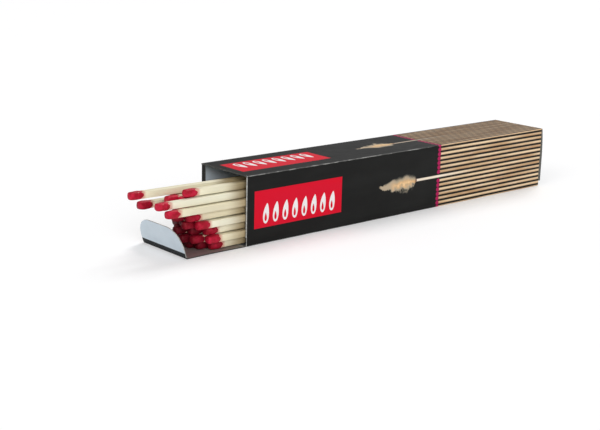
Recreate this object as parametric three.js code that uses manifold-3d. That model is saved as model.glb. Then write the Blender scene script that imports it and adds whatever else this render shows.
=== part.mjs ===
// A long carton of barbecue matches, lying on its bottom panel with its front end open.
// One folded card sleeve, a front lid folded down flat with its tuck tab standing up, a rear lid
// tucked shut, and the bundle of long matches that has slid part of the way out of the mouth.
//
// Millimetres, +Z up. X runs along the carton, from the open mouth at -X to the closed end at +X.
// Y runs across it. The origin is the middle of the sleeve's bottom face.

import * as THREE from 'three';
import { mergeVertices } from 'three/addons/utils/BufferGeometryUtils.js';
import Module from 'manifold-3d';

const wasm = await Module();
wasm.setup();

// Card
const card = 0.6;                 // thickness of the carton board
const foldRadius = 0.9;           // outside radius of the sleeve's four long folds
const foldSegments = 3;           // flats along each long fold
const seat = 0.3;                 // gap between pieces that rest on or fold against each other

// Matches
const matchLength = 282;          // tip of the head to the tail
const stick = 4.2;                // side of the square stick
const headDiameter = 5.3;         // across the corners
const headLength = 9.5;
const headSides = 8;
const neckLength = 1.2;           // the head's slope down to the stick

// Sleeve
const endSpare = 8;               // how much longer the sleeve is than a match
const sleeveLength = matchLength + endSpare;
const sleeveWidth = 47;
const sleeveHeight = 45;
const glueLapWidth = 10;          // the blank's glued edge, inside the far wall
const glueLapInset = 6;           // how far the lap stops short of each end

// Dust lips, the narrow flaps on the ends of the side walls
const lipWidth = 4;
const lipRelief = 6;              // cut away at the lid's side, so that the lid's tuck tab passes
const turnedLipGap = 0.2;         // air between the near wall and its lip, which is folded back flat

// Front lid
const lidStep = 0.4;              // how far the lid's crease stands in front of the side walls
const lidStepRise = 3;            // height of the slanting cut between the two
const lidSideInset = 0.5;         // the lids are narrower than the sleeve by this on each side
const frontTuckLength = 18;
const frontTuckInset = 0.3;       // its tuck tab is narrower than the sleeve's inside by this on each side
const frontTuckLean = 18;         // degrees that the open tuck tab leans away from the mouth
const tuckCorner = 13;            // radius of both tuck tabs' outer corners
const tuckCornerSegments = 6;

// Rear lid
const rearBulge = 1.8;            // how far the middle of the rear lid stands out
const rearTuckLength = 16;
const rearTuckLapGap = 0.6;       // between the rear tuck tab's sides and the glue lap
const rearTuckRise = 4;           // degrees that the tucked tab rises from its crease to its tip
const rearSwingGap = 0.6;         // clearance under the tab's tip as the rear lid swings open
const bulgeSegments = 8;

// Bundle
const headGap = 0.3;              // between the corners of neighbouring heads in a layer
const nestGap = 0.2;              // between a head and the sticks of the layers next to its own
const tailGap = 0.3;              // between the layers of sticks at the tail end
const headroom = 2.5;             // least free height over the bundle at the mouth
const headShift = 0.05;           // how far a head may stand off the bundle's even spacing
const stickRoll = 2;              // degrees that a stick may be turned about its own length
// How far each head stands out of the mouth, from the near side to the far side. Bottom layer first.
// Most of the top layer has been used up, and a 0 is a place with no match.
const reachByLayer = [
  [24, 30, 33, 31, 28, 25, 22],
  [28, 36, 40, 35, 33, 29, 25],
  [28, 35, 42, 37, 33, 30, 26],
  [36, 42, 39, 38, 35, 31, 28],
  [41, 47, 42, 36, 32, 29, 26],
  [58, 44, 40, 36, 33, 58, 30],
  [63, 42, 48, 39, 35, 30, 0],
  [0, 41, 0, 72, 0, 0, 0],
];

const mouthX = -sleeveLength / 2;
const rearX = sleeveLength / 2;
const lidCreaseX = mouthX - lidStep;
const innerHeight = sleeveHeight - 2 * card;
const innerWidth = sleeveWidth - 2 * card;
const lidWidth = sleeveWidth - 2 * lidSideInset;

const cardBlack = new THREE.MeshStandardMaterial({ color: 0x262626, roughness: 0.5, metalness: 0 });
const boardGrey = new THREE.MeshStandardMaterial({ color: 0xb9c3cc, roughness: 0.8, metalness: 0 });
const matchWood = new THREE.MeshStandardMaterial({ vertexColors: true, roughness: 0.7, metalness: 0 });
const woodColour = new THREE.Color(0xe8dfc0);
const headColour = new THREE.Color(0xb3202e);

// Geometry in, solid out: only the corners' places are kept, and shared corners are merged.
function toSolid(geometry) {
  const bare = geometry.clone();
  for (const name of Object.keys(bare.attributes)) {
    if (name !== 'position') bare.deleteAttribute(name);
  }
  const merged = mergeVertices(bare, 1e-5);
  return new wasm.Manifold(new wasm.Mesh({
    numProp: 3,
    vertProperties: new Float32Array(merged.attributes.position.array),
    triVerts: new Uint32Array(merged.index.array),
  }));
}

function toGeometry(solid) {
  const mesh = solid.getMesh();
  const geometry = new THREE.BufferGeometry();
  geometry.setAttribute('position', new THREE.BufferAttribute(new Float32Array(mesh.vertProperties), 3));
  geometry.setIndex(new THREE.BufferAttribute(new Uint32Array(mesh.triVerts), 1));
  geometry.computeVertexNormals();
  return geometry;
}

// An axis-aligned block between two corners.
function block(low, high) {
  const size = high.map((value, i) => value - low[i]);
  const geometry = new THREE.BoxGeometry(...size);
  geometry.translate(...low.map((value, i) => value + size[i] / 2));
  return toSolid(geometry);
}

// A flat shape drawn in Y and Z, drawn out along X from fromX.
function alongX(shape, fromX, length, curveSegments) {
  const geometry = new THREE.ExtrudeGeometry(shape, { depth: length, bevelEnabled: false, curveSegments });
  geometry.applyMatrix4(new THREE.Matrix4().makeBasis(
    new THREE.Vector3(0, 1, 0), new THREE.Vector3(0, 0, 1), new THREE.Vector3(1, 0, 0)));
  geometry.translate(fromX, 0, 0);
  return toSolid(geometry);
}

// A flat shape drawn in X and Z, drawn out across Y about the middle of the carton.
function acrossY(shape, width) {
  const geometry = new THREE.ExtrudeGeometry(shape, { depth: width, bevelEnabled: false });
  geometry.rotateX(Math.PI / 2);
  geometry.translate(0, width / 2, 0);
  return toSolid(geometry);
}

function roundedRectangle(target, halfWidth, low, high, radius) {
  target.moveTo(-halfWidth + radius, low);
  target.lineTo(halfWidth - radius, low);
  target.absarc(halfWidth - radius, low + radius, radius, -Math.PI / 2, 0, false);
  target.lineTo(halfWidth, high - radius);
  target.absarc(halfWidth - radius, high - radius, radius, 0, Math.PI / 2, false);
  target.lineTo(-halfWidth + radius, high);
  target.absarc(-halfWidth + radius, high - radius, radius, Math.PI / 2, Math.PI, false);
  target.lineTo(-halfWidth, low + radius);
  target.absarc(-halfWidth + radius, low + radius, radius, Math.PI, 1.5 * Math.PI, false);
  return target;
}

// The folded sleeve with its glue lap and its dust lips, which is one sheet of card.
function sleeve() {
  const section = roundedRectangle(new THREE.Shape(), sleeveWidth / 2, 0, sleeveHeight, foldRadius);
  section.holes.push(roundedRectangle(
    new THREE.Path(), innerWidth / 2, card, sleeveHeight - card, foldRadius - card));
  const tube = alongX(section, lidCreaseX, rearX - lidCreaseX, foldSegments);

  // The bottom panel runs on to the lid's crease, and the walls and the top stop at the mouth.
  const past = lidCreaseX - lidStep;
  const mouthCut = new THREE.Shape([
    new THREE.Vector2(past, sleeveHeight + lidStep),
    new THREE.Vector2(past, card),
    new THREE.Vector2(lidCreaseX, card),
    new THREE.Vector2(mouthX, lidStepRise),
    new THREE.Vector2(mouthX, sleeveHeight + lidStep),
  ]);

  const wall = sleeveWidth / 2;
  const lipLow = lipRelief;
  const lipHigh = sleeveHeight - card - seat;
  const lap = block(
    [mouthX + glueLapInset, innerWidth / 2 - card, card / 2],
    [rearX - glueLapInset, wall - card / 2, card + glueLapWidth]);
  const farLip = block([mouthX, wall - lipWidth, lipLow], [mouthX + card, wall - card / 2, lipHigh]);
  const turnedLip = block(
    [mouthX, -wall + card + turnedLipGap, lipLow],
    [mouthX + lipWidth, -wall + 2 * card + turnedLipGap, lipHigh]);
  const turnedFold = block(
    [mouthX, -wall + card / 2, lipLow],
    [mouthX + card, -wall + 2 * card + turnedLipGap, lipHigh]);
  const rearLips = [-1, 1].map((side) => {
    const edges = [side * (wall - lipWidth), side * (wall - card / 2)].sort((a, b) => a - b);
    return block([rearX - card, edges[0], lipLow + rearTuckHeight()], [rearX, edges[1], lipHigh]);
  });

  let solid = tube.subtract(acrossY(mouthCut, 2 * sleeveWidth));
  for (const piece of [lap, farLip, turnedLip, turnedFold, ...rearLips]) solid = solid.add(piece);
  return toGeometry(solid);
}

// A tuck tab seen flat: its crease lies along the first axis and its two outer corners are rounded.
function tuckShape(width, length) {
  const half = width / 2;
  const shape = new THREE.Shape();
  shape.moveTo(-half, 0);
  shape.lineTo(half, 0);
  shape.lineTo(half, length - tuckCorner);
  shape.absarc(half - tuckCorner, length - tuckCorner, tuckCorner, 0, Math.PI / 2, false);
  shape.lineTo(-half + tuckCorner, length);
  shape.absarc(-half + tuckCorner, length - tuckCorner, tuckCorner, Math.PI / 2, Math.PI, false);
  return shape;
}

// A tuck tab standing up in the Y-Z plane, its crease along Y through the origin, its card towards -X.
function tuckPlate(width, length) {
  const geometry = new THREE.ExtrudeGeometry(
    tuckShape(width, length), { depth: card, bevelEnabled: false, curveSegments: tuckCornerSegments });
  geometry.applyMatrix4(new THREE.Matrix4().makeBasis(
    new THREE.Vector3(0, 1, 0), new THREE.Vector3(0, 0, 1), new THREE.Vector3(1, 0, 0)));
  geometry.translate(-card, 0, 0);
  return geometry;
}

const frontLidStart = lidCreaseX - seat;
const frontLidEnd = frontLidStart - innerHeight;

function frontLid() {
  return toGeometry(block(
    [frontLidEnd, -lidWidth / 2, 0],
    [frontLidStart, lidWidth / 2, card]));
}

function frontTuckTab() {
  return toGeometry(toSolid(tuckPlate(innerWidth - 2 * frontTuckInset, frontTuckLength)));
}

// The rear lid hinges on the top panel. Its tab is bent in over the bottom panel, high enough for
// the tab's tip to swing out past the bottom panel's edge.
const rearHingeX = rearX + seat / 2;
const rearHingeZ = sleeveHeight;
const rearLidTop = sleeveHeight - seat / 2;

function rearTuckHeight() {
  const reach = rearTuckLength * Math.cos(rearTuckRise * Math.PI / 180);
  const swing = rearHingeZ - card - rearSwingGap;
  const tipHeight = rearHingeZ - Math.sqrt(swing * swing - reach * reach);
  return tipHeight - rearTuckLength * Math.sin(rearTuckRise * Math.PI / 180);
}

function rearLid() {
  const inside = rearX + seat;
  const low = rearTuckHeight();
  const profile = [];
  const bow = (t) => rearBulge * (1 - (2 * t - 1) ** 2);
  for (let i = 0; i <= bulgeSegments; i += 1) {
    const t = i / bulgeSegments;
    profile.push(new THREE.Vector2(inside + bow(t), rearLidTop + (low - rearLidTop) * t));
  }
  for (let i = bulgeSegments; i >= 0; i -= 1) {
    const t = i / bulgeSegments;
    profile.push(new THREE.Vector2(inside + bow(t) + card, rearLidTop + (low - rearLidTop) * t));
  }
  const panel = acrossY(new THREE.Shape(profile), lidWidth);
  const tab = tuckPlate(innerWidth - 2 * (card + rearTuckLapGap), rearTuckLength);
  tab.rotateY(-Math.PI / 2 + rearTuckRise * Math.PI / 180);
  tab.translate(inside + card / 2, 0, low + card);
  return toGeometry(panel.add(toSolid(tab)));
}

// One match lies along X with the tip of its head at the origin. The head is dipped over the stick's end.
function match() {
  const geometry = new THREE.BoxGeometry(matchLength - headLength / 2, stick, stick);
  geometry.translate(headLength / 2 + (matchLength - headLength / 2) / 2, 0, 0);
  const radius = headDiameter / 2;
  const profile = [
    new THREE.Vector2(0, 0),
    new THREE.Vector2(radius * 0.62, headLength * 0.04),
    new THREE.Vector2(radius * 0.92, headLength * 0.18),
    new THREE.Vector2(radius, headLength * 0.42),
    new THREE.Vector2(radius, headLength - neckLength),
    new THREE.Vector2(stick / 2, headLength),
    new THREE.Vector2(0, headLength),
  ];
  const head = new THREE.LatheGeometry(profile, headSides, Math.PI / headSides);
  head.rotateZ(-Math.PI / 2);
  return toGeometry(toSolid(geometry).add(toSolid(head)));
}

function paintMatch(geometry) {
  const place = geometry.attributes.position;
  const colours = new Float32Array(place.count * 3);
  for (let i = 0; i < place.count; i += 1) {
    const colour = place.getX(i) < headLength + neckLength / 2 ? headColour : woodColour;
    colour.toArray(colours, 3 * i);
  }
  geometry.setAttribute('color', new THREE.BufferAttribute(colours, 3));
  return geometry;
}

// The bundle fans out from its tight tail end, where the sticks lie on each other, to the mouth,
// where the thicker heads hold them apart. Every second layer is set over by half a place, so that
// its heads nest between those below.
const reaches = reachByLayer.flat().filter((reach) => reach > 0);
const shortestReach = Math.min(...reaches);
const tailStation = mouthX + matchLength - shortestReach;
const tailPitch = stick + seat;
const mouthPitch = headDiameter + headGap;
const tailRise = stick + tailGap;
const besideStick = (mouthPitch - stick) / 2;
const nestReach = headDiameter / 2 + nestGap;
const overSticks = stick / 2 + Math.sqrt(Math.max(0, nestReach ** 2 - besideStick ** 2));
const overHeads = Math.sqrt(Math.max(0, (headDiameter + nestGap) ** 2 - (mouthPitch / 2) ** 2));
const mouthRise = Math.max(overSticks, overHeads, tailRise);
const nearLimit = -sleeveWidth / 2 + 2 * card + turnedLipGap + seat + stick / 2;
const farLimit = sleeveWidth / 2 - lipWidth - seat - stick / 2;
const columns = Math.max(1, Math.floor((farLimit - nearLimit) / mouthPitch - 0.5) + 1);
const bottomHeight = card + seat + stick / 2;
const headLift = (headDiameter - stick) / 2;
const topLimit = sleeveHeight - card - seat - stick / 2 - headroom;
const layers = Math.max(1, Math.floor((topLimit - bottomHeight - headLift) / mouthRise) + 1);
const bundleMiddle = nearLimit + (columns - 0.5) * mouthPitch / 2;

function bundlePoint(x, column, layer) {
  const open = (tailStation - x) / (tailStation - mouthX);
  const pitch = tailPitch + (mouthPitch - tailPitch) * open;
  const rise = tailRise + (mouthRise - tailRise) * open;
  const sideways = column - (columns - 1) / 2 + (layer % 2 === 0 ? 0.25 : -0.25);
  return new THREE.Vector3(
    x,
    bundleMiddle + sideways * pitch,
    bottomHeight + headLift * open + layer * rise);
}

// A steady, uneven number from -1 to 1 for each match.
function uneven(column, layer, salt) {
  return Math.sin(12.9 * (column + 1) + 7.3 * (layer + 1) + 4.1 * salt);
}

function reachAt(column, layer) {
  const row = reachByLayer[Math.min(layer, reachByLayer.length - 1)];
  return row[Math.min(column, row.length - 1)];
}

function placeMatch(mesh, column, layer) {
  const reach = reachAt(column, layer);
  const tip = bundlePoint(mouthX - reach, column, layer);
  const tail = bundlePoint(mouthX - reach + matchLength, column, layer);
  tip.y += headShift * uneven(column, layer, 1);
  tip.z += (layer === 0 ? 0 : headShift) * uneven(column, layer, 2);
  const along = tail.clone().sub(tip).normalize();
  const aim = new THREE.Quaternion().setFromUnitVectors(new THREE.Vector3(1, 0, 0), along);
  const roll = new THREE.Quaternion().setFromAxisAngle(
    new THREE.Vector3(1, 0, 0), stickRoll * Math.PI / 180 * uneven(column, layer, 3));
  mesh.position.copy(tip);
  mesh.quaternion.copy(aim.multiply(roll));
}

const matchbox = new THREE.Group();

function addPiece(name, geometry, material) {
  const mesh = new THREE.Mesh(geometry, material);
  mesh.name = name;
  matchbox.add(mesh);
  return mesh;
}

addPiece('sleeve', sleeve(), cardBlack);
addPiece('front_lid', frontLid(), boardGrey);
const openTab = addPiece('front_tuck_tab', frontTuckTab(), boardGrey);
openTab.position.set(frontLidEnd, 0, card + seat);
openTab.rotation.y = -frontTuckLean * Math.PI / 180;
addPiece('rear_lid', rearLid(), cardBlack);

const matchGeometry = paintMatch(match());
for (let layer = 0; layer < layers; layer += 1) {
  for (let column = 0; column < columns; column += 1) {
    if (reachAt(column, layer) === 0) continue;
    const name = `match_layer${layer + 1}_${column + 1}`;
    placeMatch(addPiece(name, matchGeometry, matchWood), column, layer);
  }
}

export default matchbox;
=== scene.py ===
import math

import bmesh
import bpy
from mathutils import Matrix, Vector, noise


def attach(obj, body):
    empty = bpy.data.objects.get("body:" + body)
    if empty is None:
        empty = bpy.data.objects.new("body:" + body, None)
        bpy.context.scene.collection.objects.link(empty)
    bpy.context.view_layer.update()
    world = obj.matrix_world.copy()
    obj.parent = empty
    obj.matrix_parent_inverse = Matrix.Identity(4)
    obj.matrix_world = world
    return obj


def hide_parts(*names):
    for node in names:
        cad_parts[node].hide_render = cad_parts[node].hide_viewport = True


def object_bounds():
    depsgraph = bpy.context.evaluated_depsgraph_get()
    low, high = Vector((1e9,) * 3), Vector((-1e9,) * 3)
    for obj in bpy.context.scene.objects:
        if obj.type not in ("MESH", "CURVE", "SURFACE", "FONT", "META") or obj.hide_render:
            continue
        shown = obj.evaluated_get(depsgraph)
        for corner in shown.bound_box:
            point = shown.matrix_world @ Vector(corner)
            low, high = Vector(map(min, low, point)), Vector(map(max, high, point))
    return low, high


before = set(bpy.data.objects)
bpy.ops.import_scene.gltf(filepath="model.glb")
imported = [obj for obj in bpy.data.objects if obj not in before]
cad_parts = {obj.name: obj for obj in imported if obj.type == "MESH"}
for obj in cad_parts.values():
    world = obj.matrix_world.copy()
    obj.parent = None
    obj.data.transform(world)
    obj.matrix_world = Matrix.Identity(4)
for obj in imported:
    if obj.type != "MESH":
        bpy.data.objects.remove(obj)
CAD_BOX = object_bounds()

MM = 0.001

# The carton, in millimetres: x counts from the mouth, y from the near long side and z from the bottom.
LENGTH, WIDTH, HEIGHT = 290.0, 47.0, 45.0
CARD = 0.6
FOLD_RADIUS = 0.9
FOLD_STEPS = 6
PANEL_BOW = 0.25
GLUE_LAP_WIDTH, GLUE_LAP_INSET = 10.0, 6.0
LIP_LOW, LIP_HIGH, LIP_WIDTH = 6.0, 44.1, 4.0
TURNED_LIP_RADIUS = 0.7

# How finely the card is divided: along the sleeve and the open lid, across a panel and round a corner
SLEEVE_STEPS, LID_STEPS, PANEL_STEPS, CORNER_STEPS = 30, 14, 9, 8
ROLL_SIDES = 12

# The front lid, which lies open, and its tuck tab
LID_CREASE = -0.4
LID_STEP_RISE = 3.0
LID_START, LID_END = -0.7, -44.5
LID_SIDE_INSET = 0.5
TUCK_LENGTH, TUCK_WIDTH, TUCK_CORNER, TUCK_LEAN = 18.0, 45.2, 13.0, 18.0
TUCK_FOOT, TUCK_CURL = 0.9, 0.35
TUCK_STRIP = 2.85

# The rear lid, which is shut
REAR_INSIDE, REAR_TOP, REAR_LOW = 290.3, 44.85, 3.09
REAR_BULGE, REAR_BULGE_DEPTH = 1.8, 0.55
REAR_TUCK_LENGTH, REAR_TUCK_WIDTH, REAR_TUCK_RISE = 16.0, 43.4, 4.0

# Matches: a stick starts a part of the way into its head, and its tail is torn
STICK = 4.2
STICK_START, STICK_CUTS = 0.35, 16
STICK_SOFTENING, STICK_BOW, STICK_ROUGHNESS, TAIL_TEAR = 0.24, 0.15, 0.10, 0.5
HEAD_LENGTH, HEAD_SIZE, HEAD_CUTS = 9.5, 5.2, 9

# The print: rows of drawn matches, one of which is pulled out and alight, and a red label
ROWS = 14
PULLED_ROW = 7
PRINT_HEADS = 174.0
FLAME_TIP, FLAME_END, FLAME_GIRTH, FLAME_OFFSET = 115.5, 151.0, 5.6, 0.7
LABEL_START, LABEL_END, LABEL_HALF, LABEL_SOFTNESS = 6.0, 80.0, 12.0, 0.12
STRIKER_START, STRIKER_END, STRIKER_LOW, STRIKER_HIGH = 10, 146, 6, 39
FOLD_WEAR_FADES, FOLD_WEAR_ENDS = 150, 176

# The camera, in the carton's own millimetres and in degrees round, down and of turn
CAMERA_SPOT = (-437.35, -542.75, 202.88)
CAMERA_ANGLES = (41.55, 14.6, 1.5)
FOCAL_LENGTH, PICTURE_WIDTH = 1171.5, 600
SENSOR_WIDTH = 36

# The studio
FLOOR_SIZE, FLOOR_DROP = 6.0, -0.02
ROOM_LIGHT, BACKDROP_LIGHT = 0.36, 1.0
SUN_SOFTNESS = 30


def place(x, y, z):
    """A point of the carton's own millimetres, in the row frame."""
    return Vector(((x - LENGTH / 2) * MM, (y - WIDTH / 2) * MM, z * MM))


class Wire:
    """A shader value that Python's operators add Math nodes to."""

    def __init__(self, finish, socket):
        self.finish = finish
        self.socket = socket

    def math(self, operation, *others):
        return self.finish.node("Math", {"operation": operation}, [self, *others])

    def __add__(self, other):
        return self.math("ADD", other)

    def __sub__(self, other):
        return self.math("SUBTRACT", other)

    def __rsub__(self, other):
        return self.finish.node("Math", {"operation": "SUBTRACT"}, [other, self])

    def __mul__(self, other):
        return self.math("MULTIPLY", other)

    __radd__ = __add__

    def __truediv__(self, other):
        return self.math("DIVIDE", other)

    def __pow__(self, other):
        return self.math("POWER", other)

    def __abs__(self):
        return self.math("ABSOLUTE")

    def above(self, other):
        return self.math("GREATER_THAN", other)

    def below(self, other):
        return self.math("LESS_THAN", other)

    def least(self, other):
        return self.math("MINIMUM", other)

    def most(self, other):
        return self.math("MAXIMUM", other)

    def step(self, start, end):
        """0 before start and 1 after end, with a soft slope between them."""
        return self.finish.node("MapRange", {"interpolation_type": "SMOOTHSTEP"},
                                {"Value": self, "From Min": start, "From Max": end})

    def between(self, low, high, soft):
        return self.step(low - soft, low + soft) * (1 - self.step(high - soft, high + soft))


class Finish:
    """A material whose nodes are written as expressions."""

    def __init__(self, name, roughness=0.5, **uniform):
        self.material = bpy.data.materials.new(name)
        self.material.use_nodes = True
        self.tree = self.material.node_tree
        self.shader = self.tree.nodes["Principled BSDF"]
        self.shader.inputs["Roughness"].default_value = roughness
        for socket, value in uniform.items():
            self.shader.inputs[socket.replace("_", " ")].default_value = value

    def node(self, kind, settings=None, values=(), output=0):
        made = self.tree.nodes.new("ShaderNode" + kind)
        for key, value in (settings or {}).items():
            setattr(made, key, value)
        pairs = values.items() if isinstance(values, dict) else enumerate(values)
        for key, value in pairs:
            if isinstance(value, Wire):
                self.tree.links.new(value.socket, made.inputs[key])
            else:
                made.inputs[key].default_value = value
        return Wire(self, made.outputs[output])

    def set(self, **links):
        for name, wire in links.items():
            self.tree.links.new(wire.socket, self.shader.inputs[name.replace("_", " ")])

    def mix(self, factor, a, b):
        a, b = [v if isinstance(v, Wire) else (*v, 1.0) for v in (a, b)]
        return self.node("Mix", {"data_type": "RGBA"}, {0: factor, 6: a, 7: b}, output=2)

    def pick(self, factor, a, b):
        return self.node("Mix", {}, {0: factor, 2: a, 3: b})

    def vector(self, x, y, z):
        return self.node("CombineXYZ", {}, [x, y, z])

    def noise(self, vector, scale, detail=2.0, roughness=0.5):
        return self.node("TexNoise", {}, {"Vector": vector, "Scale": scale, "Detail": detail,
                                          "Roughness": roughness})

    def split(self, vector):
        parts = self.node("SeparateXYZ", {}, [vector]).socket.node.outputs
        return [Wire(self, part) for part in parts]

    def here(self):
        """The surface's place in the carton's own millimetres."""
        x, y, z = self.split(self.node("TexCoord", {}, output=3))
        return x * 1000 + LENGTH / 2, y * 1000 + WIDTH / 2, z * 1000

    def bump(self, height, distance):
        self.set(Normal=self.node("Bump", {}, {"Height": height, "Distance": distance, "Strength": 1.0}))


# Colours of the print
INK = (0.0075, 0.0076, 0.0072)
INK_SCUFFED = (0.0125, 0.0128, 0.0122)
LABEL_RED, LABEL_RED_DULL = (0.70, 0.0015, 0.020), (0.66, 0.0055, 0.030)
LABEL_WHITE = (0.88, 0.86, 0.86)
FLAME_SMOKE, FLAME_PALE = (0.17, 0.17, 0.14), (0.50, 0.40, 0.28)
FLAME_ORANGE, FLAME_CORE = (0.72, 0.44, 0.21), (0.92, 0.68, 0.38)
PRINTED_HEAD = (0.43, 0.010, 0.095)
BURNT_HEAD = (0.16, 0.060, 0.040)
STICK_DARK, STICK_LIGHT, STICK_EDGE = (0.56, 0.34, 0.17), (0.86, 0.64, 0.40), (0.26, 0.13, 0.05)
STICK_CREAM = (0.95, 0.84, 0.70)
STRIKER_DARK, STRIKER_LIGHT = (0.080, 0.030, 0.018), (0.16, 0.060, 0.034)
WORN, WORN_MOUTH, WORN_REAR = (0.42, 0.42, 0.40), (0.62, 0.63, 0.61), (0.20, 0.20, 0.17)

# Colours of the bare board
BOARD, BOARD_SHADED, BOARD_FIBRE = (0.60, 0.68, 0.76), (0.53, 0.60, 0.67), (0.40, 0.42, 0.44)
# Next line, first colour: painted shade for the board near the carton's bottom
BOARD_PAINTED_SHADE, BOARD_END = (0.035, 0.034, 0.033), (0.22, 0.21, 0.17)
BOARD_CORE = (0.50, 0.50, 0.47)
# Painted shade: the open lid's board greyed and darkened, as if shaded by the matches
LID_GREY_PAINTED_SHADE, LID_BROWN_PAINTED_SHADE = (0.27, 0.245, 0.20), (0.25, 0.165, 0.160)
# Second colour: a painted rust-red reflection of the heads on the lid
LID_FIBRE, LID_PAINTED_REFLECTION = (0.20, 0.185, 0.175), (0.24, 0.085, 0.085)
TAB_COAT, TAB_COAT_PALE, TAB_FIBRE = (0.59, 0.675, 0.74), (0.64, 0.725, 0.79), (0.42, 0.46, 0.48)
TAB_INK = (0.006, 0.0085, 0.0105)

# Colours of the matches
WOOD_PALE, WOOD_WARM, WOOD_BRIGHT = (0.85, 0.82, 0.65), (0.78, 0.71, 0.50), (0.90, 0.88, 0.74)
WOOD_VEIN, WOOD_PORE = (0.60, 0.48, 0.28), (0.62, 0.53, 0.35)
# Painted shade for the sticks at and inside the mouth
WOOD_PAINTED_SHADE, WOOD_PAINTED_SHADE_VEIN = (0.40, 0.30, 0.145), (0.27, 0.18, 0.075)
WOOD_STAINED = (0.60, 0.16, 0.13)
HEAD_DARK, HEAD_BRIGHT = (0.36, 0.004, 0.018), (0.57, 0.011, 0.046)
# First colour: painted shade for heads low in the bundle
HEAD_PAINTED_SHADE, HEAD_RUBBED = (0.060, 0.0008, 0.004), (0.72, 0.08, 0.13)

# Colours of the studio
FLOOR_WHITE = (0.84, 0.84, 0.845, 1)
FLOOR_TOP_UP = (0.20, 0.20, 0.20)
NO_LIGHT = (0.0, 0.0, 0.0)


def label(x, w):
    """A red field with a row of plain white drop-shaped flames. Returns the field and the white in it."""
    soft = LABEL_SOFTNESS
    field = x.between(LABEL_START, LABEL_END, soft) * w.between(-LABEL_HALF, LABEL_HALF, soft)
    first, pitch, count, tall, foot = 11.2, 8.0, 8, 13.0, 9.6
    cell = (x - first) / pitch
    number = cell.math("FLOOR")
    across = (cell - number - 0.5) * pitch
    height = w + foot
    rise = (height / tall).most(0).least(1)
    # A drop: round at its foot and drawn out to a point at its top, with a slight lean.
    lean = (rise ** 2) * 1.2
    girth = (rise ** 0.5) * ((1 - rise) ** 0.78) * 5.6
    reach = abs(across - lean) - girth
    inner_rise = ((height - 1.5) / 5.6).most(0).least(1)
    inner = abs(across) - (inner_rise ** 0.5) * (1 - inner_rise) * 2.5
    drop = (1 - reach.step(-soft, soft)) * height.between(0.05, tall - 0.05, 0.05)
    hollow = (1 - inner.step(-soft, soft)) * height.between(1.55, 7.0, 0.05)
    return field, drop * (1 - hollow) * number.between(-0.5, count - 0.5, 0.01)


def flame(f, x, w, spot):
    """The ragged pale flame at the end of the pulled match. Returns how much of it shows, and its colour."""
    swirl = f.noise(spot, 0.10, 1.0) - 0.5
    curl = f.noise(spot, 0.17, 2.0) - 0.5
    wisp = f.noise(spot, 0.34, 2.5, 0.55) - 0.5
    along = ((x + swirl * 10 - FLAME_TIP) / (FLAME_END - FLAME_TIP)).most(0).least(1)
    girth = (along.step(0.0, 0.70) * FLAME_GIRTH + 0.9) * ((1 - along ** 9) ** 0.5) + 0.05
    reach = abs(w + FLAME_OFFSET + curl * 7) / girth
    thick = 1.12 - reach + wisp
    ends = x.between(FLAME_TIP, FLAME_END - 0.6, 1.2)
    shows = thick.step(0.0, 0.55) * ends
    colour = f.mix(thick.step(0.10, 0.65), FLAME_SMOKE, FLAME_PALE)
    colour = f.mix(thick.step(0.55, 1.05) * along.step(0.20, 0.55), colour, FLAME_ORANGE)
    glow = thick.step(0.80, 1.25) * x.between(FLAME_TIP + 14, FLAME_END - 4, 4.0)
    return shows * (thick.step(0.1, 0.8) * 0.4 + 0.6), f.mix(glow * 0.8, colour, FLAME_CORE)


def drawn_matches(f, x, rows, slim):
    """Rows of drawn sticks with a head each, made thinner by slim. Returns masks and colours of both."""
    row = (rows + 0.5).math("FLOOR")
    side = rows - row
    off = abs(side) + slim
    pulled = abs(row - PULLED_ROW).below(0.5)
    tone = f.noise(f.vector(row * 3.7, x * 0.016, 0.0), 1.0, 1.0)
    streak = f.noise(f.vector(x * 0.035, rows * 6.0, 0.0), 1.6, 4.0, 0.62)
    stick = (1 - off.step(0.20, 0.33)) * (x - f.pick(pulled, PRINT_HEADS, FLAME_END)).step(-0.2, 0.2)
    colour = f.mix(tone.step(0.36, 0.64), STICK_DARK, STICK_LIGHT)
    colour = f.mix(streak.step(0.50, 0.72) * 0.75, colour, STICK_CREAM)
    colour = f.mix((1 - streak.step(0.28, 0.46)) * 0.5, colour, STICK_EDGE)
    colour = f.mix((0 - side).step(0.02, 0.30) * 0.55, colour, STICK_EDGE)
    cream = pulled * (1 - x.step(PRINT_HEADS - 5, PRINT_HEADS + 45))
    colour = f.mix(cream * 0.85, colour, STICK_CREAM)
    head_x = f.pick(pulled, PRINT_HEADS, FLAME_END - 0.8)
    jitter = f.noise(f.vector(row * 5.3, 0.0, 0.0), 1.0, 0.0) - 0.5
    head = 1 - (((x - head_x - jitter * 0.8) / 1.75) ** 2 + (off / 0.50) ** 2).step(0.6, 1.15)
    return stick, colour, head, f.mix(pulled, PRINTED_HEAD, BURNT_HEAD)


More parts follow.
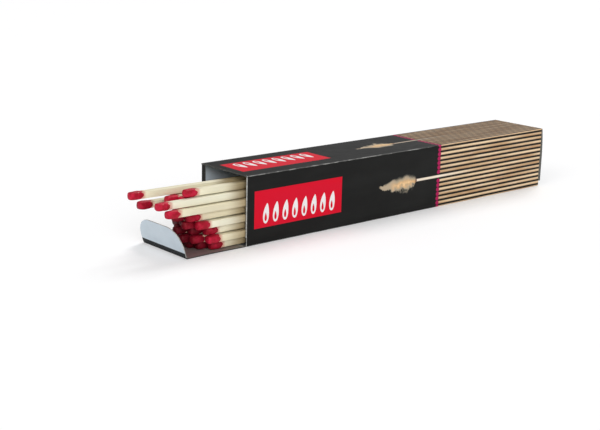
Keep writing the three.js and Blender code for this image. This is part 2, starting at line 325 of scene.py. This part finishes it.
def printed_card():
    """Coated carton board, printed black, with the red label and the drawn matches."""
    f = Finish("printed_card", Specular_IOR_Level=0.12)
    x, y, z = f.here()
    spot = f.vector(x, y, z)
    out_y = abs(y - WIDTH / 2) - (WIDTH / 2 - FOLD_RADIUS)
    out_z = abs(z - HEIGHT / 2) - (HEIGHT / 2 - FOLD_RADIUS)
    side = (out_y - out_z).above(0)
    near = side * y.below(WIDTH / 2)
    top = (1 - side) * z.above(HEIGHT / 2)
    far = side * y.above(WIDTH / 2)
    shown = near.most(top) * x.above(LIP_WIDTH + 1)
    w = f.pick(side, WIDTH / 2 - y, z - HEIGHT / 2)
    rows = f.pick(side, y / WIDTH, z / HEIGHT) * ROWS

    grain = f.noise(spot, 0.11, 3.0)
    fibre = f.noise(spot, 2.2, 2.0)
    smudge = f.noise(f.vector(x * 0.25, y, z), 0.09, 2.0)
    speck = f.noise(spot, 3.5, 1.0)

    colour = f.mix(smudge.step(0.35, 0.75) * 0.7, INK, INK_SCUFFED)
    shows, flame_colour = flame(f, x, w, f.vector(x, w, top * 40))
    stick, stick_colour, head, head_colour = drawn_matches(f, x, rows, top * 0.045)
    # Painted shade: the drawn sticks darker on the top face than the same print on the side
    stick_colour = f.mix(top * 0.42, stick_colour, STICK_EDGE)
    colour = f.mix(stick, colour, stick_colour)
    colour = f.mix(head, colour, head_colour)
    colour = f.mix(shows * shown, colour, flame_colour)
    field, white = label(x, w)
    red = f.mix(smudge.step(0.3, 0.7) * 0.5, LABEL_RED, LABEL_RED_DULL)
    colour = f.mix(field * shown, colour, red)
    colour = f.mix(white * field * shown, colour, LABEL_WHITE)

    # The striking strip on the far long side
    strip = x.between(STRIKER_START, STRIKER_END, 0.15) * z.between(STRIKER_LOW, STRIKER_HIGH, 0.15) * far
    strip_colour = f.mix(speck.step(0.4, 0.62), STRIKER_DARK, STRIKER_LIGHT)
    colour = f.mix(strip, colour, strip_colour)

    # Print rubbed off along the long folds and round the mouth
    fold = out_y.least(out_z).step(0.20, 0.60)
    broken = f.noise(f.vector(x * 0.30, y, z), 0.55, 3.0).step(0.40, 0.62)
    unworn = x.step(FOLD_WEAR_FADES, FOLD_WEAR_ENDS)
    colour = f.mix(fold * (broken * 0.55 + 0.18) * (1 - unworn), colour, WORN)
    mouth = (1 - x.step(0.15, 0.50)) * near.most(y.below(1.45)) * (broken * 0.30 + 0.50)
    colour = f.mix(mouth, colour, WORN_MOUTH)

    # The dust lips at the mouth are plain black inside the carton's edge
    lip = x.below(LIP_WIDTH + 1) * z.above(LIP_LOW) * (y - 1.0).above(0) * z.below(LIP_HIGH - 0.2)
    colour = f.mix(lip, colour, INK)

    f.set(Base_Color=colour)
    f.set(Roughness=f.pick(strip, 0.42 + grain * 0.16, 0.85))
    f.bump(grain * 0.55 + fibre * 0.05 + speck * strip * 0.25, 0.0002)
    return f.material


def rear_print():
    """The rear lid's print: plain black, rubbed paler along its side edges and its two creases."""
    f = Finish("rear_print", Specular_IOR_Level=0.12)
    x, y, z = f.here()
    spot = f.vector(x, y, z)
    grain = f.noise(spot, 0.11, 3.0)
    smudge = f.noise(spot, 0.07, 3.0)
    broken = f.noise(f.vector(x, y * 0.4, z * 0.4), 0.6, 3.0).step(0.40, 0.65)
    edge = abs(y - WIDTH / 2).step(WIDTH / 2 - 1.2, WIDTH / 2 - 0.5)
    crease = z.step(HEIGHT - 1.1, HEIGHT - 0.2).most(1 - z.step(REAR_LOW + 0.3, REAR_LOW + 1.1))
    colour = f.mix(smudge.step(0.35, 0.7) * 0.8, INK, INK_SCUFFED)
    colour = f.mix(edge.most(crease) * (broken * 0.35 + 0.10), colour, WORN_REAR)
    f.set(Base_Color=colour)
    f.set(Roughness=0.44 + grain * 0.18)
    f.bump(grain * 0.7 + smudge * 0.5, 0.00025)
    return f.material


def inner_board():
    """The pale blue-grey inside of the carton, cloudy, with painted shade darkening it near its bottom, and
    dull at its end.
    """
    f = Finish("inner_board", roughness=0.72, Specular_IOR_Level=0.3)
    x, y, z = f.here()
    cloud = f.noise(f.vector(x * 0.5, y, z), 0.10, 3.0)
    fibre = f.noise(f.vector(x * 0.4, y, z), 3.0, 2.0)
    colour = f.mix(cloud.step(0.3, 0.7), BOARD, BOARD_SHADED)
    colour = f.mix(fibre.step(0.55, 0.75) * 0.18, colour, BOARD_FIBRE)
    # Painted shade: the board darkened near the bottom, from just outside the mouth inwards
    painted_light = (1 - z.step(0.8, 4.0)) * x.above(-2)
    colour = f.mix(painted_light * 0.90, colour, BOARD_PAINTED_SHADE)
    colour = f.mix(x.above(LENGTH - 1) * 0.8, colour, BOARD_END)
    f.set(Base_Color=colour)
    f.bump(cloud * 0.4 + fibre * 0.08, 0.0002)
    return f.material


def cut_edge(name, pale):
    """The board's cut edge: its grey core, stained and fibrous, made darker by a low value of pale."""
    f = Finish(name, roughness=0.8, Specular_IOR_Level=0.2)
    spot = f.vector(*f.here())
    fibre = f.noise(spot, 1.4, 3.0)
    stain = f.noise(spot, 0.25, 2.0)
    core = tuple(c * pale for c in BOARD_CORE)
    colour = f.mix(stain.step(0.35, 0.7), core, tuple(c * 0.6 for c in core))
    colour = f.mix(fibre.step(0.5, 0.7) * 0.5, colour, tuple(c * 1.3 for c in core))
    f.set(Base_Color=colour)
    f.bump(fibre, 0.0001)
    return f.material


def lid_inside():
    """The open lid's upper face, greyer and darker than the rest with painted shade from the matches, and
    with a painted rust-red reflection of the heads in patches under them.
    """
    f = Finish("lid_inside", roughness=0.75, Specular_IOR_Level=0.25)
    x, y, z = f.here()
    spot = f.vector(x, y, z)
    cloud = f.noise(spot, 0.12, 3.0)
    fibre = f.noise(f.vector(x * 0.4, y, z), 2.6, 3.0)
    painted_light = f.noise(spot, 0.9, 3.0)
    # Painted shade: the lid's board in darkened greys, browner towards the tab
    colour = f.mix((cloud - x * 0.012).step(0.50, 0.95), LID_GREY_PAINTED_SHADE, LID_BROWN_PAINTED_SHADE)
    colour = f.mix(fibre.step(0.5, 0.75) * 0.3, colour, LID_FIBRE)
    # Painted reflection: rust-red patches of the heads' reflected light under them
    painted_reflection = x.between(-44, -14, 6.0) * painted_light.step(0.45, 0.72)
    colour = f.mix(painted_reflection * 0.35, colour, LID_PAINTED_REFLECTION)
    near_crease = 1 - abs(x - LID_START + 1.0).step(0.0, 0.8)
    far_crease = 1 - abs(x - LID_END - 0.5).step(0.0, 0.7)
    colour = f.mix(near_crease.most(far_crease) * 0.25, colour, BOARD)
    f.set(Base_Color=colour)
    f.bump(cloud * 0.5 + fibre * 0.12, 0.0002)
    return f.material


def tab_face():
    """The tuck tab's coated face: bare pale board, with the black print running on to it at its foot."""
    f = Finish("tab_face", roughness=0.5, Specular_IOR_Level=0.15)
    x, y, z = f.here()
    cloud = f.noise(f.vector(x, y, z), 0.07, 3.0)
    fibre = f.noise(f.vector(x, y * 0.4, z), 2.6, 2.0)
    colour = f.mix(cloud.step(0.3, 0.7), TAB_COAT, TAB_COAT_PALE)
    colour = f.mix(fibre.step(0.58, 0.8) * 0.15, colour, TAB_FIBRE)
    ragged = f.noise(f.vector(x, y * 0.5, z), 0.8, 2.0) * 0.24
    print_edge = TUCK_FOOT + TUCK_STRIP * math.cos(math.radians(TUCK_LEAN))
    colour = f.mix(1 - (z + ragged).step(print_edge, print_edge + 0.22), colour, TAB_INK)
    f.set(Base_Color=colour)
    f.bump(cloud * 0.6 + fibre * 0.05, 0.0002)
    return f.material


def match_wood():
    """Pale split poplar: long grain, a few darker veins and a tone of its own for each stick, with painted
    shade from the mouth inwards.
    """
    f = Finish("match_wood", roughness=0.6, Specular_IOR_Level=0.35)
    along, across = [part * 1000 for part in f.split(f.node("UVMap", {"uv_map": "grain"}))[:2]]
    tone = f.noise(f.vector(along * 0.003, across * 0.018, 0.0), 1.0, 1.0)
    vein = f.noise(f.vector(along * 0.016, across * 1.3, 0.0), 1.0, 4.0, 0.62)
    pore = f.noise(f.vector(along * 0.12, across * 5.0, 0.0), 1.0, 2.0)
    colour = f.mix(tone.step(0.33, 0.66), WOOD_PALE, WOOD_WARM)
    colour = f.mix(vein.step(0.54, 0.80) * 0.5, colour, WOOD_VEIN)
    colour = f.mix((1 - vein.step(0.24, 0.44)) * 0.45, colour, WOOD_BRIGHT)
    colour = f.mix(pore.step(0.60, 0.80) * 0.22, colour, WOOD_PORE)
    # Painted shade: darker and browner from the mouth inwards, where the carton shades the sticks
    x = f.here()[0]
    inside = f.mix(vein.step(0.3, 0.7), WOOD_PAINTED_SHADE, WOOD_PAINTED_SHADE_VEIN)
    colour = f.mix(x.step(-15, 2) * 0.88, colour, inside)
    stain = 1 - along.step(HEAD_LENGTH - 0.6, HEAD_LENGTH + 1.8)
    colour = f.mix(stain * (0.35 + pore * 0.6), colour, WOOD_STAINED)
    f.set(Base_Color=colour)
    f.bump(vein * 0.6 + pore * 0.4, 0.00012)
    return f.material


def match_head():
    """Crimson head compound: matt, faintly grainy, paler where it was rubbed, with painted shade darkening
    the heads low in the bundle.
    """
    f = Finish("match_head", roughness=0.5, Specular_IOR_Level=0.18)
    spot = f.node("TexCoord", {}, output=3)
    mottle = f.noise(spot, 330.0, 3.0)
    grit = f.noise(spot, 2400.0, 2.0)
    colour = f.mix(mottle.step(0.35, 0.68), HEAD_DARK, HEAD_BRIGHT)
    y, z = f.here()[1:]
    # Painted shade: heads darker low in the bundle and towards its back
    painted_shade = (1 - z.step(18, 33)) * y.step(-2, 13)
    colour = f.mix(painted_shade * 0.85, colour, HEAD_PAINTED_SHADE)
    colour = f.mix(grit.step(0.60, 0.82) * 0.30 * (1 - painted_shade), colour, HEAD_RUBBED)
    f.set(Base_Color=colour)
    f.bump(mottle * 0.5 + grit * 0.5, 0.00022)
    return f.material


def finish_piece(name, bm, materials, body, nodes):
    """Make a piece of bm with its materials, which rides on its body and takes its nodes' place if it has
    any.
    """
    mesh = bpy.data.meshes.new(name)
    bm.to_mesh(mesh)
    bm.free()
    for material in materials:
        mesh.materials.append(material)
    piece = bpy.data.objects.new(name, mesh)
    bpy.context.scene.collection.objects.link(piece)
    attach(piece, body)
    if nodes:
        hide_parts(*nodes)


def sheet(bm, rows, middle):
    """Card laid through rows of points, printed on the side that faces away from middle.

    Its thickness goes the other way. Its faces get skin 0 on the printed side, 1 on the other and 2 at
    the cut edges.
    """
    along, across = len(rows) - 1, len(rows[0]) - 1
    grid = bmesh.ops.create_grid(bm, x_segments=along, y_segments=across, size=1.0)["verts"]
    for v in grid:
        i = round((v.co.x + 1) / 2 * along)
        j = round((v.co.y + 1) / 2 * across)
        v.co = rows[i][j]
    front = list({face for v in grid for face in v.link_faces})
    bm.normal_update()
    if front[0].normal.dot(front[0].calc_center_median() - middle) < 0:
        bmesh.ops.reverse_faces(bm, faces=front)
        bm.normal_update()
    inward = {v.co.copy().freeze(): -v.normal * v.calc_shell_factor() * CARD * MM for v in grid}
    made = bmesh.ops.extrude_face_region(bm, geom=front, use_keep_orig=True)["geom"]
    back = [g for g in made if isinstance(g, bmesh.types.BMFace)]
    for v in [g for g in made if isinstance(g, bmesh.types.BMVert)]:
        v.co += inward[v.co.copy().freeze()]
    skins = {face: 0 for face in front}
    skins.update({face: 1 for face in back})
    whole = {face for v in grid for face in v.link_faces} | set(back)
    for face in whole:
        face.smooth = True
        face.material_index = skins.get(face, 2)
    rims = [face for face in whole if face.material_index == 2]
    for edge in {edge for face in rims for edge in face.edges}:
        kinds = {face.material_index for face in edge.link_faces}
        edge.smooth = len(kinds) == 1
    bmesh.ops.recalc_face_normals(bm, faces=list(whole))


def quarter(cx, cy, radius, start, steps=FOLD_STEPS, sweep=90):
    """Points of an arc about (cx, cy) from start degrees on."""
    angles = [math.radians(start + sweep * i / steps) for i in range(steps + 1)]
    return [(cx + radius * math.cos(a), cy + radius * math.sin(a)) for a in angles]


def spread(low, high, steps):
    """Even steps from low to high, both included."""
    return [low + (high - low) * i / steps for i in range(steps + 1)]


# Places across a lid or a tab, from one side edge to the other
ACROSS = spread(-1, 1, 12)


def sleeve_section():
    """The blank's outline across the carton, from the far wall's free edge round to the glue lap."""
    lap_y = WIDTH - CARD - 0.02
    wall = (LID_STEP_RISE, LIP_LOW - 0.1, LIP_LOW, *spread(10, 40, 6), LIP_HIGH - 0.1)
    far = [(WIDTH, z) for z in (0.15, 2.0, *wall)]
    top = [(y, HEIGHT) for y in spread(WIDTH - FOLD_RADIUS, FOLD_RADIUS, PANEL_STEPS)[1:-1]]
    near = [(0.0, z) for z in reversed(wall)]
    bottom = [(y, 0.0) for y in spread(FOLD_RADIUS, lap_y - FOLD_RADIUS, PANEL_STEPS)[1:-1]]
    lap = [(lap_y, z) for z in (1.4, 4.0, CARD + GLUE_LAP_WIDTH)]
    r = FOLD_RADIUS
    return (far + quarter(WIDTH - r, HEIGHT - r, r, 0) + top + quarter(r, HEIGHT - r, r, 90) + near
            + quarter(r, r, r, 180) + bottom + quarter(lap_y - r, r, r, 270) + lap)


def sleeve_ends(y, z):
    """Where the blank starts and ends along the carton, at a place of its section."""
    wall = y < 0.01 or y > WIDTH - 0.01
    if y > WIDTH - 1 and y < WIDTH - 0.01 and 1.2 < z < CARD + GLUE_LAP_WIDTH + 0.1:
        return GLUE_LAP_INSET, LENGTH - GLUE_LAP_INSET
    if wall and LIP_LOW - 0.01 < z < LIP_HIGH - 0.05:
        setback = TURNED_LIP_RADIUS if y < 1 else FOLD_RADIUS
        return setback, LENGTH - FOLD_RADIUS
    return LID_CREASE * max(0.0, 1 - z / LID_STEP_RISE), LENGTH


def folded_sleeve(skins):
    """The carton's blank, folded round and glued, with its four narrow dust lips."""
    bm = bmesh.new()
    section = sleeve_section()
    rows = []
    for i in range(SLEEVE_STEPS + 1):
        t = i / SLEEVE_STEPS
        row = []
        for y, z in section:
            start, end = sleeve_ends(y, z)
            x = start + (end - start) * t
            bow = PANEL_BOW * math.sin(math.pi * t)
            if z == HEIGHT:
                z -= bow * math.sin(math.pi * y / WIDTH)
            elif y == 0.0 or y == WIDTH:
                y += bow * math.sin(math.pi * z / HEIGHT) * (1 if y == 0.0 else -1)
            row.append(place(x, y, z))
        rows.append(row)
    sheet(bm, rows, place(LENGTH / 2, WIDTH / 2, HEIGHT / 2))

    def lip(path, x, y):
        heights = spread(LIP_LOW, LIP_HIGH, 10)
        sheet(bm, [[place(*point, z) for z in heights] for point in path], place(x, y, HEIGHT / 2))

    r, t = FOLD_RADIUS, TURNED_LIP_RADIUS
    tip = WIDTH - LIP_WIDTH
    lip(quarter(r, WIDTH - r, r, 90) + [(0.0, tip + 1.5), (0.0, tip)], r, WIDTH - r)
    lip(quarter(t, t, t, 270, 10, -180) + [(2.4, 2 * t), (LIP_WIDTH, 2 * t)], t, t)
    for y, start, sweep, end in ((r, 270, 90, LIP_WIDTH), (WIDTH - r, 90, -90, tip)):
        ends = [(LENGTH, (y + end) / 2), (LENGTH, end)]
        lip(quarter(LENGTH - r, y, r, start, FOLD_STEPS, sweep) + ends, LENGTH - r, y)
    finish_piece("folded_sleeve", bm, skins, "carton", ["sleeve"])


def tab_rows(base, along, half, length):
    """Rows of a tab from its crease to its tip, whose two outer corners are rounded."""
    straight = length - TUCK_CORNER
    stations = [(s, half) for s in spread(0, straight, 3)]
    for i in range(1, CORNER_STEPS + 1):
        a = math.pi / 2 * i / CORNER_STEPS
        out = straight + TUCK_CORNER * math.sin(a)
        stations.append((out, half - TUCK_CORNER + TUCK_CORNER * math.cos(a)))
    return [[base + along * s * MM + Vector((0, w * t * MM, 0)) for t in ACROSS] for s, w in stations]


def roll(bm, centre, radius, half_length):
    """A thin roll of card along Y, which keeps a crease closed as it turns."""
    made = bmesh.ops.create_cone(bm, cap_ends=True, segments=ROLL_SIDES, radius1=radius, radius2=radius,
                                 depth=2 * half_length)["verts"]
    bmesh.ops.rotate(bm, cent=(0, 0, 0), matrix=Matrix.Rotation(math.radians(90), 3, "X"), verts=made)
    bmesh.ops.translate(bm, vec=centre, verts=made)
    for face in {face for v in made for face in v.link_faces}:
        face.smooth = len(face.verts) == 4


def open_lid(skins):
    """The front lid, flat on the table with its printed side down, and the crease that it turns on."""
    bm = bmesh.new()
    half = WIDTH / 2 - LID_SIDE_INSET
    rows = []
    for x in spread(LID_START, LID_END, LID_STEPS):
        t = (x - LID_START) / (LID_END - LID_START)
        lift = PANEL_BOW * math.sin(math.pi * t)
        rows.append([place(x, WIDTH / 2 + half * s, lift * s * s) for s in ACROSS])
    sheet(bm, rows, place(LID_END / 2, WIDTH / 2, HEIGHT))
    finish_piece("open_lid", bm, skins, "front_lid", ["front_lid"])
    bm = bmesh.new()
    roll(bm, place((LID_START + LID_CREASE) / 2, WIDTH / 2, 0.26), 0.25 * MM, (half - 0.2) * MM)
    finish_piece("lid_crease", bm, skins[1:2], "carton", [])


def open_tuck(skins):
    """The tuck tab, standing up from the lid's far edge and leaning out, with its two round corners."""
    bm = bmesh.new()
    half = TUCK_WIDTH / 2
    rows = tab_rows(Vector((-CARD * MM, 0, 0)), Vector((0, 0, 1)), half, TUCK_LENGTH)
    for row in rows:
        for point in row:
            t = point.z / (TUCK_LENGTH * MM)
            point.x += TUCK_CURL * MM * t * t
    sheet(bm, rows, Vector((WIDTH * MM, 0, 0)))
    lean = Matrix.Rotation(math.radians(-TUCK_LEAN), 3, "Y")
    bmesh.ops.rotate(bm, cent=(0, 0, 0), matrix=lean, verts=bm.verts)
    bmesh.ops.translate(bm, vec=place(LID_END, WIDTH / 2, TUCK_FOOT), verts=bm.verts)
    roll(bm, place(LID_END, WIDTH / 2, TUCK_FOOT - 0.42), 0.40 * MM, (half - 0.1) * MM)
    finish_piece("open_tuck_tab", bm, skins, "front_tuck_tab", ["front_tuck_tab"])


def shut_lid(skins):
    """The rear lid bowed outwards, its tab bent in over the bottom panel, and the crease that it turns on."""
    bm = bmesh.new()
    rise = math.radians(REAR_TUCK_RISE)
    half = WIDTH / 2 - LID_SIDE_INSET
    bend = 0.5
    path = [(REAR_INSIDE + 0.15, REAR_TOP), (REAR_INSIDE + 0.45, REAR_TOP - 0.12)]
    for t in spread(0.02, 0.985, 20):
        bulge = 1 - max(0.0, 1 - t / REAR_BULGE_DEPTH) ** 2
        path.append((REAR_INSIDE + CARD + REAR_BULGE * bulge, REAR_TOP + (REAR_LOW - REAR_TOP) * t))
    rows = [[place(x, WIDTH / 2 + half * s, z) for s in ACROSS] for x, z in path]
    foot_x = REAR_INSIDE + CARD + REAR_BULGE - bend
    foot = quarter(foot_x, REAR_LOW + bend, bend, 0, 5, -90)
    tab_half = REAR_TUCK_WIDTH / 2
    rows += [[place(x, WIDTH / 2 + tab_half * s, z) for s in ACROSS] for x, z in foot]
    inwards = Vector((-math.cos(rise), 0, math.sin(rise)))
    start = place(foot_x, WIDTH / 2, REAR_LOW)
    rows += tab_rows(start, inwards, tab_half, REAR_TUCK_LENGTH)[1:]
    sheet(bm, rows, place(LENGTH - 5, WIDTH / 2, HEIGHT / 2))
    finish_piece("shut_lid", bm, skins, "rear_lid", ["rear_lid"])
    bm = bmesh.new()
    roll(bm, place(LENGTH + 0.15, WIDTH / 2, HEIGHT - 0.26), 0.24 * MM, (half - 0.1) * MM)
    finish_piece("rear_crease", bm, skins[:1], "carton", [])


def match_frame(node):
    """Where a match lies: its head's tip, axes along and across the stick, and its length."""
    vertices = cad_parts[node].data.vertices
    points = [Vector(p) for p in {tuple(round(c, 7) for c in v.co) for v in vertices}]
    tip = min(points, key=lambda p: p.x)
    end = max(p.x for p in points)
    corners = [p for p in points if p.x > end - 0.6 * MM]
    tail = sum(corners, Vector()) / len(corners)
    along = (tail - tip).normalized()
    diagonal = max(corners, key=lambda p: p.y + p.z) - tail
    across = Matrix.Rotation(math.radians(-45), 3, along) @ diagonal
    across = (across - along * across.dot(along)).normalized()
    turn = Matrix((along, across, along.cross(across))).transposed().to_4x4()
    return Matrix.Translation(tip) @ turn, (tail - tip).length


def whittle_stick(bm, length, index):
    """A square split stick with softened edges, a slight bow and a torn tail. Returns its face count."""
    start = HEAD_LENGTH * STICK_START * MM
    half = STICK / 2 * MM
    stick = bmesh.ops.create_cube(bm, size=1.0)["verts"]
    bmesh.ops.scale(bm, vec=(length - start, 2 * half, 2 * half), verts=stick)
    bmesh.ops.translate(bm, vec=((length + start) / 2, 0, 0), verts=stick)
    edges = [e for e in bm.edges if abs(e.verts[0].co.x - e.verts[1].co.x) > start]
    bmesh.ops.bevel(bm, geom=edges, offset=STICK_SOFTENING * MM, segments=2, profile=0.5,
                    affect="EDGES", material=-1)
    long_edges = [e for e in bm.edges if abs(e.verts[0].co.x - e.verts[1].co.x) > start]
    bmesh.ops.subdivide_edges(bm, edges=long_edges, cuts=STICK_CUTS)
    seed = index * 7.31
    for v in bm.verts:
        t = (v.co.x - start) / (length - start)
        if t > 0.999:
            v.co.x -= TAIL_TEAR * MM * abs(noise.noise(v.co * 900 + Vector((seed, 0, 0))))
        rough = abs(noise.noise(Vector((v.co.x * 60, v.co.y * 900, v.co.z * 900 + seed))))
        slim = STICK_ROUGHNESS * MM * rough
        bow = STICK_BOW * MM * math.sin(math.pi * t)
        v.co.y += bow * math.sin(seed) - math.copysign(slim, v.co.y)
        v.co.z += bow * math.sin(seed * 1.7) - math.copysign(slim, v.co.z)
    return len(bm.faces)


def dip_head(bm, index):
    """The dipped head: a rounded square block, blunt at its tip and ragged where it ends on the stick."""
    before = len(bm.verts)
    made = bmesh.ops.create_cube(bm, size=2.0)["verts"]
    edges = list({e for v in made for e in v.link_edges})
    bmesh.ops.subdivide_edges(bm, edges=edges, cuts=HEAD_CUTS, use_grid_fill=True)
    bm.verts.ensure_lookup_table()
    seed = index * 3.17
    size = HEAD_SIZE * (0.985 + 0.035 * math.sin(seed * 2.3))
    for v in bm.verts[before:]:
        side = Vector((0, v.co.y, v.co.z))
        if side.length:
            round_side = side.normalized() * max(abs(side.y), abs(side.z))
            side = side.lerp(round_side, 0.50)
        p = Vector((v.co.x, side.y, side.z)).lerp(v.co.normalized() * 1.14, 0.30)
        t = (p.x + 1) / 2
        neck = max(0.0, t - 0.70) / 0.30
        blunt = 1 - min(1.0, t / 0.20)
        lump = noise.noise(Vector((p.x * 1.5 + seed, p.y * 1.2, p.z * 1.2)))
        girth = (1.0 - 0.16 * neck ** 1.5 - 0.16 * blunt ** 2) * (0.99 + 0.07 * lump)
        ragged = 0.9 * neck * noise.noise(Vector((seed, p.y * 2.6, p.z * 2.6)))
        x = min(max(t * HEAD_LENGTH + ragged, 0.0), HEAD_LENGTH + 0.6)
        v.co = Vector((x, p.y * size / 2 * girth, p.z * size / 2 * girth)) * MM


def long_match(node, index, skins):
    """One match in its node's place: a split stick and its dipped head, with grain of its own."""
    spot, length = match_frame(node)
    bm = bmesh.new()
    grain = bm.loops.layers.uv.new("grain")
    stick_faces = whittle_stick(bm, length, index)
    dip_head(bm, index)
    bm.faces.ensure_lookup_table()
    for number, face in enumerate(bm.faces):
        is_head = number >= stick_faces
        face.material_index = 1 if is_head else 0
        face.smooth = True
        for loop in face.loops:
            c = loop.vert.co
            loop[grain].uv = (c.x, c.y + 1.7 * c.z + index * 0.37)
    bmesh.ops.recalc_face_normals(bm, faces=bm.faces)
    bm.transform(spot)
    lowest = CAD_BOX[0][0] + 0.05 * MM
    for v in bm.verts:
        v.co.x = max(v.co.x, lowest)
    finish_piece("long_" + node, bm, skins, "carton", [node])


def set_camera():
    """A long lens from the mouth's near side, a little above the carton and turned a degree and a half."""
    azimuth, elevation, turn = (math.radians(a) for a in CAMERA_ANGLES)
    forward = Vector((math.sin(azimuth) * math.cos(elevation), math.cos(azimuth) * math.cos(elevation),
                      -math.sin(elevation)))
    right = Vector((math.cos(azimuth), -math.sin(azimuth), 0))
    up = right.cross(forward)
    right, up = (math.cos(turn) * right + math.sin(turn) * up, math.cos(turn) * up - math.sin(turn) * right)
    camera = bpy.data.objects.new("camera", bpy.data.cameras.new("camera"))
    camera.data.sensor_width = SENSOR_WIDTH
    camera.data.lens = FOCAL_LENGTH / PICTURE_WIDTH * SENSOR_WIDTH
    camera.data.clip_start, camera.data.clip_end = 0.01, 20
    turned = Matrix((right, up, -forward)).transposed().to_4x4()
    camera.matrix_world = Matrix.Translation(place(*CAMERA_SPOT)) @ turned
    bpy.context.scene.collection.objects.link(camera)
    bpy.context.scene.camera = camera


def set_floor():
    """A white sweep under the carton. What the camera sees of it is topped up to white, shadows apart."""
    bm = bmesh.new()
    bmesh.ops.create_grid(bm, x_segments=1, y_segments=1, size=FLOOR_SIZE)
    bmesh.ops.translate(bm, vec=(0, 0, FLOOR_DROP * MM), verts=bm.verts)
    mesh = bpy.data.meshes.new("floor")
    bm.to_mesh(mesh)
    bm.free()
    floor = bpy.data.objects.new("floor", mesh)
    bpy.context.scene.collection.objects.link(floor)
    f = Finish("floor_white", roughness=0.7, Base_Color=FLOOR_WHITE, Specular_IOR_Level=0.1,
               Emission_Strength=1.0)
    path = f.node("LightPath").socket.node.outputs
    seen = Wire(f, path["Is Camera Ray"]).most(Wire(f, path["Is Glossy Ray"]))
    seen = seen.most(Wire(f, path["Is Transmission Ray"]))
    f.set(Emission_Color=f.mix(seen, NO_LIGHT, FLOOR_TOP_UP))
    mesh.materials.append(f.material)


def set_light():
    """An even white room, brighter to the camera than to the carton, and three soft suns."""
    world = bpy.data.worlds.new("studio")
    world.use_nodes = True
    tree = world.node_tree
    ground = tree.nodes["Background"]
    ground.inputs["Color"].default_value = (1, 1, 1, 1)
    path = tree.nodes.new("ShaderNodeLightPath")
    level = tree.nodes.new("ShaderNodeMapRange")
    level.inputs["To Min"].default_value = ROOM_LIGHT
    level.inputs["To Max"].default_value = BACKDROP_LIGHT
    tree.links.new(path.outputs["Is Camera Ray"], level.inputs["Value"])
    tree.links.new(level.outputs[0], ground.inputs["Strength"])
    bpy.context.scene.world = world
    for name, strength, direction in (
            ("front", 1.40, (0.42, 0.80, -0.42)),
            ("back", 1.45, (-0.62, -0.25, -0.74)),
            ("left", 0.55, (0.85, 0.20, -0.48))):
        sun = bpy.data.objects.new(name, bpy.data.lights.new(name, "SUN"))
        sun.data.energy = strength
        sun.data.angle = math.radians(SUN_SOFTNESS)
        sun.rotation_euler = Vector(direction).to_track_quat("-Z", "Y").to_euler()
        bpy.context.scene.collection.objects.link(sun)


set_camera()
bpy.context.scene.view_settings.view_transform = "Standard"
set_floor()
set_light()

card, inside, rear = printed_card(), inner_board(), rear_print()
pale_edge, dark_edge = cut_edge("pale_cut_edge", 1.0), cut_edge("dark_cut_edge", 0.20)
# Painted shade: the lids' cut edges near black, partly ink running round from the printed face and partly
# painted contact shade
inked_shaded_edge = cut_edge("inked_shaded_cut_edge", 0.09)
wood, head = match_wood(), match_head()

folded_sleeve([card, inside, dark_edge])
shut_lid([rear, inside, inked_shaded_edge])
open_lid([rear, lid_inside(), inked_shaded_edge])
open_tuck([tab_face(), inside, pale_edge])
for index, node in enumerate(sorted(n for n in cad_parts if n.startswith("match_"))):
    long_match(node, index, [wood, head])
